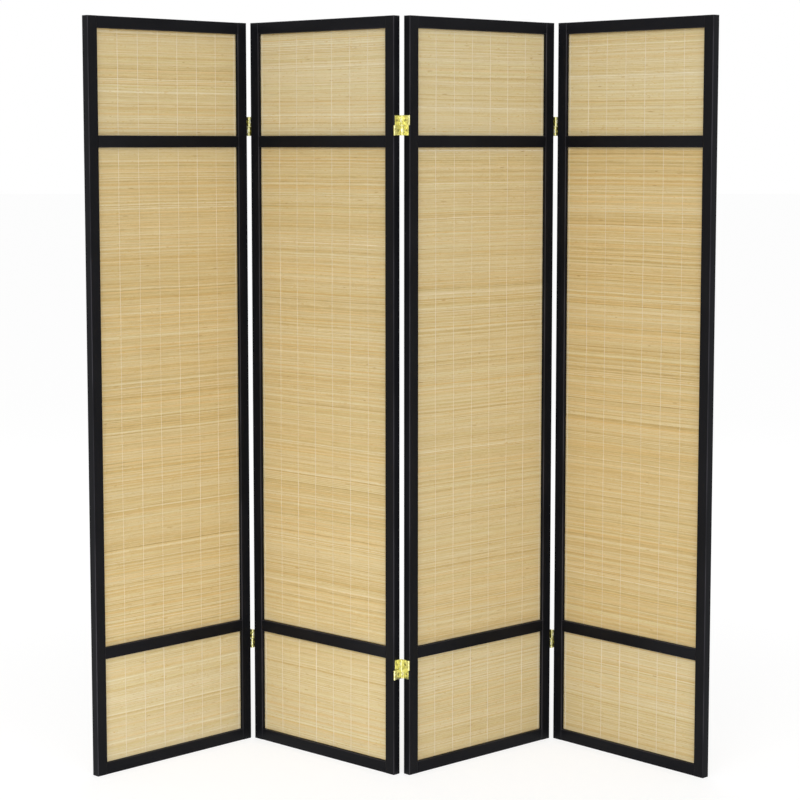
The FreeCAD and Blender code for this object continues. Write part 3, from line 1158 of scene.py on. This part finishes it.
@dataclass(frozen=True)
class Panel:
    """One framed panel: two stiles, four rails and three mats.

    The shifts set the lacquer's pattern on, so that no two bars match.
    """

    place: PanelPlace
    finishes: Finishes
    shape: BarShape = BarShape()
    mat: Mat = Mat()
    stile_shift: float = 0.31
    rail_shift: float = 0.17
    rails_shift: float = 0.5

    def make_bar(self, name: str, surface: Surface, standing: np.ndarray, shift: float) -> None:
        """Makes a stile or a rail.

        Args:
            name: the bar's name.
            surface: its shape along its third axis.
            standing: its points in the panel's own frame.
            shift: how far its pattern is set on.
        """
        across_and_back, along = surface.points[:, :2], surface.points[:, 2]
        surface.point_values["bar_place"] = np.column_stack([along + shift, across_and_back])
        surface.points = self.place.carried(standing)
        node = f"panel_{self.place.number}_{name}"
        make_piece(f"{node}_bar", surface.outward(), self.finishes.lacquer, self.place.body,
                   node, self.shape.sharp_degrees)

    def make_stile(self, side: Side) -> None:
        """Makes a stile: the bar stands on end, its groove toward the windows.

        Args:
            side: which of the two stiles.
        """
        place, shape = self.place, self.shape
        size = (place.stile_width, place.thickness)
        stop = place.rails["bottom_rail"][1] - shape.groove_depth
        grooves = (side is Side.RIGHT, side is Side.LEFT)
        surface = shape.bar(size, shape.stile_radius, grooves, place.height, shape.stile_ease, stop)
        middle = place.stile_width / 2 if side is Side.LEFT else place.width - place.stile_width / 2
        standing = surface.points + [middle, place.thickness / 2, 0.0]
        shift = place.number + self.stile_shift * side.value
        self.make_bar(f"{side.name.lower()}_stile", surface, standing, shift)

    def make_rail(self, number: int, name: str) -> None:
        """Makes a rail: the bar lies between the stiles.

        Args:
            number: the rail, counted from the floor.
            name: the rail's name.
        """
        place, shape = self.place, self.shape
        low, high = place.rails[name]
        size = (high - low, place.thickness)
        grooves = (number > 0, number < len(place.rails) - 1)
        length = place.width - 2 * place.stile_width
        surface = shape.bar(size, shape.rail_radius, grooves, length, shape.rail_ease, 0.0)
        up, deep, along = surface.points.T
        middle = (low + high) / 2
        standing = np.column_stack([along + place.stile_width, deep + place.thickness / 2, up + middle])
        self.make_bar(name, surface, standing, place.number + self.rail_shift * number + self.rails_shift)

    def make_mat(self, window: Window, random: np.random.Generator) -> None:
        """Makes a window's sticks and warp threads.

        Args:
            window: the window.
            random: the source of chance.
        """
        place, finishes, opening = self.place, self.finishes, window.value
        mat = replace(self.mat, thread_half_width=self.mat.thread_half_width * opening.fullness)
        left, right = place.stile_width, place.width - place.stile_width
        foot = place.rails[opening.rail_below][1] - mat.tuck
        head = place.rails[opening.rail_above][0] + mat.tuck
        levels = mat.stick_levels(foot, head, random)
        depth = place.thickness / 2
        node = f"panel_{place.number}_{opening.mat}"
        sticks = mat.sticks(left - mat.tuck, right + mat.tuck, levels, depth, random)
        pale = opening.paleness[place.number - 1]
        sticks.face_values["stick_tone"] += [pale, -pale / 2, 0.0]
        sticks.points = place.carried(sticks.points)
        make_piece(f"{node}_sticks", sticks, finishes.bamboo, place.body, node,
                   mat.stick_sharp_degrees)
        threads = mat.threads(left, right, levels, depth, random)
        threads.points = place.carried(threads.points)
        make_piece(f"{node}_threads", threads, finishes.thread, place.body, "",
                   mat.thread_sharp_degrees)

    def build(self, random: np.random.Generator) -> None:
        """Makes every piece of the panel.

        Args:
            random: the source of chance.
        """
        for side in Side:
            self.make_stile(side)
        for number, name in enumerate(self.place.rails):
            self.make_rail(number, name)
        for window in Window:
            self.make_mat(window, random)


# Hinges

@dataclass(frozen=True)
class Screw:
    """A countersunk screw with a cross recess.

    The head's circles and the recess's half width, end and fade are shares of the head's radius. The
    taper's shares are places along the length.
    """

    head_radius: float = 0.0026
    head_edge: float = 0.00012
    head_dome: float = 0.00022
    head_circles: tuple[float, ...] = (0.03, 0.1, 0.2, 0.3, 0.4, 0.5, 0.58, 0.66, 0.74, 0.84, 0.94, 1.0)
    recess_depth: float = 0.0009
    recess_half: float = 0.17
    recess_end: float = 0.7
    recess_fade: float = 0.2
    shank_radius: float = 0.0013
    shank_taper: float = 0.92
    length: float = 0.014
    taper_shares: Span = (0.5, 0.98)
    tip_radius: float = 0.0004
    around: int = 48

    def surface(self) -> Surface:
        """The screw along its third axis, with its head at the start.

        The head is a polar grid. Its face is a low dome less a recess where the nearer of the two axes is
        under half a slot's width away, deepest at the middle and running out before the rim.

        Returns:
            The closed surface.
        """
        angles = np.linspace(0, FULL_TURN, self.around, endpoint=False)
        radii = self.head_radius * np.array(self.head_circles)
        grid_r, grid_a = np.meshgrid(radii, angles, indexing="ij")
        across, up = grid_r * np.cos(grid_a), grid_r * np.sin(grid_a)
        dome = self.head_dome * (1 - (grid_r / self.head_radius) ** 2)
        nearer = np.minimum(np.abs(across), np.abs(up))
        slot = np.clip(1 - nearer / (self.recess_half * self.head_radius), 0, 1) ** 0.5
        reach = np.clip((self.recess_end - grid_r / self.head_radius) / self.recess_fade, 0, 1)
        face = dome - self.recess_depth * slot * reach
        taper, tip = (self.length * share for share in self.taper_shares)
        profile = np.array([(self.head_radius, self.head_edge),
                            (self.shank_radius, self.head_radius - self.shank_radius),
                            (self.shank_radius * self.shank_taper, taper), (self.tip_radius, tip)])
        return ringed(np.concatenate([np.stack([across, up, -face], axis=-1), circles(profile, self.around)]))


@dataclass(frozen=True)
class Hinge:
    """A double-action hinge about the middle of the gap and its own mid height.

    Two pin lines run beside the front faces and the back faces. Each plate has knuckles on one line in
    each half, and a link in each half joins the two lines.
    """

    panel_thickness: float
    height: float = 0.046
    gap: float = 0.0086
    leaf: float = 0.0013
    setback: float = 0.003
    standoff: float = 0.00175
    pin_radius: float = 0.0011
    pin_clearance: float = 0.00005
    pin_rise: float = 0.0005
    dome_start: float = 0.08
    dome_rings: int = 7
    knuckle_gap: float = 0.0003
    knuckle_clearance: float = 0.0003
    knuckle_turn_degrees: float = 318.0
    knuckle_points: int = 26
    tangent_shares: tuple[float, ...] = (0.9, 0.5, 0.08)
    notch_steps: int = 60
    access_radius: float = 0.003
    screw: Screw = Screw()
    screw_clearance: float = 0.00005
    ease: float = 0.00015
    around: int = 28
    sharp_degrees: float = 34.0

    @property
    def sheet(self) -> float:
        """The thickness of a rolled sheet, which leaves the pin its clearance."""
        return self.leaf - self.pin_clearance

    @property
    def eye_reach(self) -> float:
        """How far from a pin's centre its eye reaches, with the clearance round it."""
        return self.pin_radius + self.leaf + self.knuckle_clearance

    def line(self, sign: int) -> float:
        """The depth of the front pin line, for a sign of -1, or of the back one."""
        return self.panel_thickness / 2 + sign * (self.panel_thickness / 2 + self.standoff)

    def knuckle(self, half: Half, number: int) -> Span:
        """The foot and head of a knuckle.

        Args:
            half: the half that it is in.
            number: the knuckle, counted from the foot of its half.

        Returns:
            The two heights.
        """
        tall = (self.height / 2 - self.knuckle_gap / 2 - 2 * self.knuckle_gap) / 3
        foot = self.knuckle_gap / 2 if half is Half.UPPER else -self.height / 2
        foot += number * (tall + self.knuckle_gap)
        return foot, foot + tall

    def flat(self, deep: Span, up: Span, half: Half, hole_radius: float, across: float,
             plain_edge: float | None = None) -> Surface:
        """A flat leaf that stands in the gap, with a hole in the middle of its half.

        Args:
            deep: where it starts and ends, back from the front face.
            up: its foot and head.
            half: the half that its hole is in.
            hole_radius: the hole's radius.
            across: its place across the gap.
            plain_edge: the height of an edge that isn't rounded.

        Returns:
            The closed surface.
        """
        low, high = np.array([deep[0], up[0]]), np.array([deep[1], up[1]])
        hole = np.array([self.panel_thickness / 2, half.value * self.height / 4])
        plate = holed_plate(low, high, hole, hole_radius, self.leaf, self.ease, plain_edge)
        back, height, aside = plate.points.T
        return Surface(np.column_stack([aside + across, back, height]), plate.faces).outward()

    def curl(self, start: np.ndarray, lead: np.ndarray, pin: np.ndarray, turn: int) -> np.ndarray:
        """The centre line of a sheet that leaves a flat leaf and rolls round a pin.

        It runs from the start, straight as the leaf for a moment, along the tangent to the circle of the
        rolled sheet's middle, and then round that circle for most of a turn.

        Args:
            start: where the sheet leaves the leaf.
            lead: a point of the leaf just before the start.
            pin: the pin's centre.
            turn: the sense in which the sheet rolls, 1 or -1.

        Returns:
            The centre line's points.
        """
        radius = self.pin_radius + self.pin_clearance + self.sheet / 2
        reach = start - pin
        angle = math.atan2(reach[1], reach[0]) + turn * math.acos(radius / np.linalg.norm(reach))
        swept = np.linspace(0, math.radians(self.knuckle_turn_degrees), self.knuckle_points)
        swept = angle + turn * swept
        circle = pin + radius * np.stack([np.cos(swept), np.sin(swept)], axis=1)
        tangent = circle[0] + (start - circle[0]) * np.array(self.tangent_shares)[:, None]
        return np.concatenate([[lead, start], tangent, circle])

    def notched(self, rolled: np.ndarray, pin: np.ndarray) -> np.ndarray:
        """The start of a rolled sheet's centre line, up to the notch that the link's eye turns in.

        Args:
            rolled: the whole centre line, as curl gives it.
            pin: the pin's centre.

        Returns:
            The centre line's points as far as the notch.
        """
        lead, start = rolled[:2]
        circle_start = rolled[2 + len(self.tangent_shares)]
        steps = start + (circle_start - start) * np.linspace(0, 1, self.notch_steps)[:, None]
        clear = steps[np.linalg.norm(steps - pin, axis=1) > self.eye_reach + self.leaf / 2]
        return np.stack([lead, start, (start + clear[-1]) / 2, clear[-1]])

    def plate(self, side: Side) -> Surface:
        """A plate: a leaf on the stile's edge with a hole in each half, and two rolled knuckles a half.

        Args:
            side: the panel that it is screwed to.

        Returns:
            The plate's closed surfaces as one.
        """
        middle = side.value * (self.gap - self.leaf) / 2
        half_thickness = self.panel_thickness / 2
        hole_radius = self.screw.head_radius + self.screw_clearance
        deep = (self.setback, self.panel_thickness - self.setback)
        parts = []
        for half in Half:
            ends = sorted((0.0, half.value * self.height / 2))
            parts.append(self.flat(deep, ends, half, hole_radius, middle, plain_edge=0.0))
            sign = -side.value * half.value
            start = np.array([middle, half_thickness + sign * (half_thickness - self.setback)])
            lead = start - np.array([0.0, sign * self.ease])
            pin = np.array([0.0, self.line(sign)])
            rolled = self.curl(start, lead, pin, side.value * sign)
            lower, upper = (self.knuckle(half, number) for number in (0, 2))
            parts += [ribbon(rolled, self.sheet, *ends, self.ease) for ends in (lower, upper)]
            parts.append(ribbon(self.notched(rolled, pin), self.sheet, lower[1] - self.ease,
                                upper[0] + self.ease, self.ease / 2))
        return Surface.joined(parts)

    def link(self, half: Half) -> Surface:
        """The link of one half: a strap with an access hole, and a rolled eye on each pin line.

        Args:
            half: the half that it works in.

        Returns:
            The link's closed surfaces as one.
        """
        deep = (self.line(-1) + self.eye_reach, self.line(1) - self.eye_reach)
        ends = sorted((half.value * self.knuckle_gap / 2, half.value * self.height / 2))
        parts = [self.flat(deep, ends, half, self.access_radius, 0.0)]
        for sign in (-1, 1):
            pin = np.array([0.0, self.line(sign)])
            start = pin - np.array([0.0, sign * self.eye_reach])
            lead = start - np.array([0.0, sign * self.ease])
            rolled = self.curl(start, lead, pin, 1)
            parts.append(ribbon(rolled, self.sheet, *self.knuckle(half, 1), self.ease))
        return Surface.joined(parts)

    def pin(self, half: Half, sign: int) -> Surface:
        """A pin of one half with domed ends, its outer end standing proud of the knuckles.

        Args:
            half: the half that it stands in.
            sign: -1 for the front line, 1 for the back line.

        Returns:
            The closed surface.
        """
        outer = half.value * (self.height / 2 + self.pin_rise)
        low, high = sorted((half.value * self.knuckle_gap / 2, outer))
        dome = np.linspace(self.dome_start, QUARTER_TURN, self.dome_rings)
        rounded = np.stack([np.sin(dome) * self.pin_radius, (1 - np.cos(dome)) * self.pin_rise], axis=1)
        foot = rounded * [1, 1] + [0, low]
        head = rounded[::-1] * [1, -1] + [0, high]
        surface = ringed(circles(np.concatenate([foot, head]), self.around))
        surface.points = surface.points + [0.0, self.line(sign), 0.0]
        return surface

    def driven(self, side: Side, half: Half) -> Surface:
        """A screw that lies on its side with its head in the plate.

        Args:
            side: the panel that it is driven into.
            half: the half of the plate that it holds.

        Returns:
            The closed surface.
        """
        surface = self.screw.surface()
        deep, up, inward = surface.points.T
        across = side.value * (self.gap / 2 - self.leaf) + side.value * inward
        surface.points = np.column_stack([across, deep + self.panel_thickness / 2,
                                          up + half.value * self.height / 4])
        return surface.outward()


@dataclass(frozen=True)
class Seam:
    """The two hinges between a panel and its right-hand neighbour."""

    number: int
    left: PanelPlace
    right: PanelPlace
    finishes: Finishes
    hinge: Hinge

    def make(self, name: str, suffix: str, surface: Surface, slot: Slot) -> None:
        """Makes the piece that stands for a hinge node, at both hinges of the seam.

        It rides on the panel that carries the node, and its place is set out from that panel's edge.

        Args:
            name: the node's name after the seam's own.
            suffix: what its piece's name adds.
            surface: its shape about the middle of the gap and its hinge's mid height.
            slot: the record's slot of its finish.
        """
        seam = f"seam_{self.number}"
        node = f"{seam}_{name}"
        on_left = node in frame["record"]["behaviour"]["bodies"][self.left.body]
        panel = self.left if on_left else self.right
        shift = panel.width + self.hinge.gap / 2 if on_left else -self.hinge.gap / 2
        heights = node_points(f"{seam}_left_plates")[:, 2]
        levels = (heights.min() + self.hinge.height / 2, heights.max() - self.hinge.height / 2)
        placed = [Surface(panel.carried(surface.points + [shift, 0.0, level]), surface.faces)
                  for level in levels]
        material = self.finishes.screw if slot is Slot.SCREW else self.finishes.brass
        make_piece(f"{node}_{suffix}", Surface.joined(placed), material, panel.body, node,
                   self.hinge.sharp_degrees)

    def build(self) -> None:
        """Makes every piece of the seam's hinges."""
        hinge = self.hinge
        for side in Side:
            name = side.name.lower()
            self.make(f"{name}_plates", "rolled", hinge.plate(side), Slot.HINGE)
            pins = [hinge.pin(half, -side.value * half.value) for half in Half]
            self.make(f"{name}_pins", "domed", Surface.joined(pins), Slot.HINGE)
            screws = [hinge.driven(side, half) for half in Half]
            self.make(f"{name}_screws", "slotted", Surface.joined(screws), Slot.SCREW)
        for half in Half:
            self.make(f"{half.name.lower()}_links", "rolled", hinge.link(half), Slot.HINGE)


# Studio

@dataclass(frozen=True)
class Softbox:
    """A large soft lamp: its place, its size, its power and where it points."""

    name: str
    place: Triple
    size: Span
    power: float
    target: Triple

    def build(self) -> None:
        """Makes the lamp."""
        lamp = bpy.data.lights.new(self.name, "AREA")
        lamp.shape = "RECTANGLE"
        lamp.size, lamp.size_y = self.size
        lamp.energy = self.power
        holder = bpy.data.objects.new(self.name, lamp)
        bpy.context.scene.collection.objects.link(holder)
        holder.visible_camera = False
        holder.location = self.place
        aim = np.array(self.target) - np.array(self.place)
        flat = math.hypot(aim[0], aim[1])
        holder.rotation_euler = (math.atan2(flat, -aim[2]), 0.0, math.atan2(-aim[0], aim[1]))


@dataclass(frozen=True)
class Studio:
    """The pale floor, the even light and the camera.

    The floor's glow has its two shares at the two distances of its reach, near the divider and far off.
    """

    floor_reach: float = 60.0
    floor_colour: float = 0.86
    floor_roughness: float = 0.9
    floor_glow: Span = (0.63, 0.72)
    glow_reach: Span = (1.0, 3.2)
    glow_strength: float = 1.21
    ambient: float = 0.45
    lamps: tuple[Softbox, ...] = (
        Softbox("key_softbox", (-1.9, -6.2, 4.3), (4.8, 3.5), 166.0, (0.0, 0.0, 0.6)),
        Softbox("fill_softbox", (2.1, -6.2, 2.3), (4.2, 3.5), 132.0, (0.0, 0.0, 0.4)),
        Softbox("floor_bounce", (-0.45, -0.8, 0.03), (2.0, 0.4), 6.5, (-0.1, 0.0, 0.8)),
        Softbox("rear_softbox", (0.4, 3.8, 3.8), (3.0, 2.0), 52.0, (0.0, 0.0, 0.9)),
    )
    camera_place: Triple = (0.0070, -5.1682, 1.4875)
    camera_pitch_deg: float = 5.905
    camera_yaw_deg: float = 0.085
    sensor_mm: float = 36.0
    lens_mm: float = 97.507
    shift_down: float = 0.04

    def make_floor(self) -> None:
        """Makes a wide floor that is pale in itself and whiter where it is seen, least so by the divider."""
        reach = self.floor_reach
        mesh = bpy.data.meshes.new("studio_floor")
        corners = [(-reach, -reach, 0.0), (reach, -reach, 0.0), (reach, reach, 0.0), (-reach, reach, 0.0)]
        mesh.from_pydata(corners, [], [(0, 1, 2, 3)])
        floor = bpy.data.objects.new("studio_floor", mesh)
        bpy.context.scene.collection.objects.link(floor)
        graph = Graph("studio_floor_paint")
        graph.shade("Base Color", (self.floor_colour,) * 3)
        graph.shade("Roughness", self.floor_roughness)
        graph.shade("Specular IOR Level", 0.0)
        glow = graph.nodes.new("ShaderNodeEmission")
        glow.inputs["Strength"].default_value = self.glow_strength
        across, back, _ = graph.split(graph.nodes.new("ShaderNodeTexCoord").outputs["Object"])
        away = graph.math("MULTIPLY_ADD", across, across, graph.math("POWER", back, 2.0))
        white = graph.ranged(graph.math("SQRT", away), self.glow_reach, self.floor_glow, smooth=True)
        share = graph.math("MULTIPLY", seen_rays(graph.material.node_tree), white)
        blend = graph.nodes.new("ShaderNodeMixShader")
        for socket, value in zip(blend.inputs, (share, graph.shader.outputs["BSDF"], glow.outputs[0])):
            graph.put(socket, value)
        graph.put(graph.output.inputs["Surface"], blend.outputs[0])
        mesh.materials.append(graph.material)

    def make_world(self) -> None:
        """Makes an even surround: white where it is seen or mirrored, and softer as light."""
        world = bpy.data.worlds.new("studio_surround")
        bpy.context.scene.world = world
        world.use_nodes = True
        nodes, links = world.node_tree.nodes, world.node_tree.links
        strength = nodes.new("ShaderNodeMapRange")
        links.new(seen_rays(world.node_tree), strength.inputs["Value"])
        strength.inputs["To Min"].default_value = self.ambient
        strength.inputs["To Max"].default_value = 1.0
        background = next(node for node in nodes if node.type == "BACKGROUND")
        background.inputs["Color"].default_value = (1.0, 1.0, 1.0, 1.0)
        links.new(strength.outputs[0], background.inputs["Strength"])

    def make_camera(self) -> None:
        """Makes the camera at the photograph's viewing angle."""
        data = bpy.data.cameras.new("studio_camera")
        data.sensor_width = self.sensor_mm
        data.lens = self.lens_mm
        data.shift_y = -self.shift_down
        data.clip_end = 3 * self.floor_reach
        camera = bpy.data.objects.new("studio_camera", data)
        bpy.context.scene.collection.objects.link(camera)
        camera.location = self.camera_place
        pitch, yaw = math.radians(90 - self.camera_pitch_deg), math.radians(self.camera_yaw_deg)
        camera.rotation_euler = (pitch, 0.0, yaw)
        bpy.context.scene.camera = camera

    def build(self) -> None:
        """Makes the floor, the light and the camera."""
        self.make_floor()
        self.make_world()
        for lamp in self.lamps:
            lamp.build()
        self.make_camera()
        bpy.context.scene.view_settings.view_transform = "Standard"


def main() -> None:
    """Builds the divider's panels, its seams and the studio."""
    logging.basicConfig(level=logging.INFO, format="%(name)s: %(message)s")
    finishes = Finishes.make()
    panels = sum(1 for body in frame["bodies"] if body.startswith("panel_"))
    places = [PanelPlace.read(number) for number in range(1, panels + 1)]
    for place in places:
        Panel(place, finishes).build(np.random.default_rng(RANDOM_SEED + place.number))
    for number, (left, right) in enumerate(zip(places, places[1:]), start=1):
        Seam(number, left, right, finishes, Hinge(left.thickness)).build()
    Studio().build()


if __name__ == "__main__":
    main()
